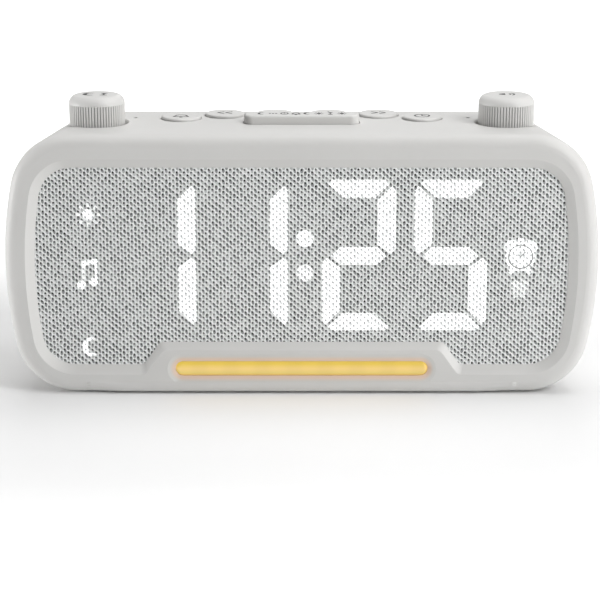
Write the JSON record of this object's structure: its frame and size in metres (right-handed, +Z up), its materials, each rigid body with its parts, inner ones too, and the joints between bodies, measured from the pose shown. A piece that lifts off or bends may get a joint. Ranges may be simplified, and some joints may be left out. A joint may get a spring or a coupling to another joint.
{
  "type": "bedside digital alarm clock",
  "caption": "Bedside alarm clock: rounded housing, cloth front with a segment display shining through, night-light bar, keys, snooze bar and push-and-turn knobs.",
  "frame": {"origin": "centre of the footprint, on the plane that the feet stand on", "axes": "+Z up, the cloth front faces -Y, +X is the viewer's right"},
  "size_m": [0.1994, 0.062, 0.099],
  "materials": {
    "white_shell": "fine matt moulded texture",
    "white_cover": "fine matt moulded texture",
    "white_key": "smooth satin",
    "white_knob": "satin, fluted side",
    "grey_cloth": "open warp-knit speaker cloth",
    "black_plastic": "matt",
    "white_reflector": "glossy reflector white",
    "lit_diffuser": "milky, lit white",
    "amber_lens": "milky, lit warm amber",
    "led_package": "phosphor over white package",
    "circuit_board": "solder mask",
    "bright_metal": "bright plated",
    "magnet_steel": "zinc plated",
    "screw_steel": "black zinc",
    "black_foam": "closed-cell foam",
    "cone_paper": "pressed paper",
    "grey_rubber": "matt rubber",
    "smoked_lens": "smoked clear"
  },
  "bodies": {
    "clock": {"housing": "white_shell", "rear_cover": "white_cover", "speaker_cloth": "grey_cloth", "cloth_carrier": "black_plastic", "segment_diffusers": "lit_diffuser", "display_light_box": "white_reflector", "display_board": "circuit_board", "display_leds": "led_package", "night_light_lens": "amber_lens", "night_light_tray": "white_reflector", "night_light_board": "circuit_board", "night_light_leds": "led_package", "key_board": "circuit_board", "tact_switches": "black_plastic", "left_encoder_case": "bright_metal", "right_encoder_case": "bright_metal", "main_board": "circuit_board", "power_inlet": "bright_metal", "charging_socket": "bright_metal", "audio_socket": "black_plastic", "backup_cell": "bright_metal", "cell_contact": "bright_metal", "speaker_gasket": "black_foam", "speaker_basket": "bright_metal", "speaker_magnet": "magnet_steel", "speaker_surround": "black_foam", "speaker_cone": "cone_paper", "cover_screws": "screw_steel", "key_board_screws": "screw_steel", "main_board_screws": "screw_steel", "feet": "grey_rubber", "sensor_lenses": "smoked_lens"},
    "first_key": {"key_1": "white_key"},
    "second_key": {"key_2": "white_key"},
    "third_key": {"key_3": "white_key"},
    "fourth_key": {"key_4": "white_key"},
    "fifth_key": {"key_5": "white_key"},
    "sixth_key": {"key_6": "white_key"},
    "snooze": {"snooze_bar": "white_key"},
    "left_press": {"left_push_plate": "black_plastic"},
    "left_turn": {"left_knob": "white_knob", "left_spindle": "bright_metal"},
    "right_press": {"right_push_plate": "black_plastic"},
    "right_turn": {"right_knob": "white_knob", "right_spindle": "bright_metal"},
    "door": {"battery_door": "white_cover"}
  },
  "joints": [
    {"name": "first_key_press", "type": "slide", "parent": "clock", "child": "first_key", "axis": [0, 0, -1], "range_m": [0, 0.0008], "stiffness_N_per_m": 900},
    {"name": "second_key_press", "type": "slide", "parent": "clock", "child": "second_key", "axis": [0, 0, -1], "range_m": [0, 0.0008], "stiffness_N_per_m": 900},
    {"name": "third_key_press", "type": "slide", "parent": "clock", "child": "third_key", "axis": [0, 0, -1], "range_m": [0, 0.0008], "stiffness_N_per_m": 900},
    {"name": "fourth_key_press", "type": "slide", "parent": "clock", "child": "fourth_key", "axis": [0, 0, -1], "range_m": [0, 0.0008], "stiffness_N_per_m": 900},
    {"name": "fifth_key_press", "type": "slide", "parent": "clock", "child": "fifth_key", "axis": [0, 0, -1], "range_m": [0, 0.0008], "stiffness_N_per_m": 900},
    {"name": "sixth_key_press", "type": "slide", "parent": "clock", "child": "sixth_key", "axis": [0, 0, -1], "range_m": [0, 0.0008], "stiffness_N_per_m": 900},
    {"name": "snooze_press", "type": "slide", "parent": "clock", "child": "snooze", "axis": [0, 0, -1], "range_m": [0, 0.001], "stiffness_N_per_m": 1200},
    {"name": "left_knob_press", "type": "slide", "parent": "clock", "child": "left_press", "axis": [0, 0, -1], "range_m": [0, 0.0006], "stiffness_N_per_m": 2500},
    {"name": "left_knob_turn", "type": "hinge", "parent": "left_press", "child": "left_turn", "pos_m": [-0.0696, -0.006, 0.09], "axis": [0, 0, 1], "continuous": true},
    {"name": "right_knob_press", "type": "slide", "parent": "clock", "child": "right_press", "axis": [0, 0, -1], "range_m": [0, 0.0006], "stiffness_N_per_m": 2500},
    {"name": "right_knob_turn", "type": "hinge", "parent": "right_press", "child": "right_turn", "pos_m": [0.0696, -0.006, 0.09], "axis": [0, 0, 1], "continuous": true},
    {"name": "door_lift_off", "type": "slide", "parent": "clock", "child": "door", "axis": [0, 1, 0], "range_m": [0, 0.02]}
  ]
}
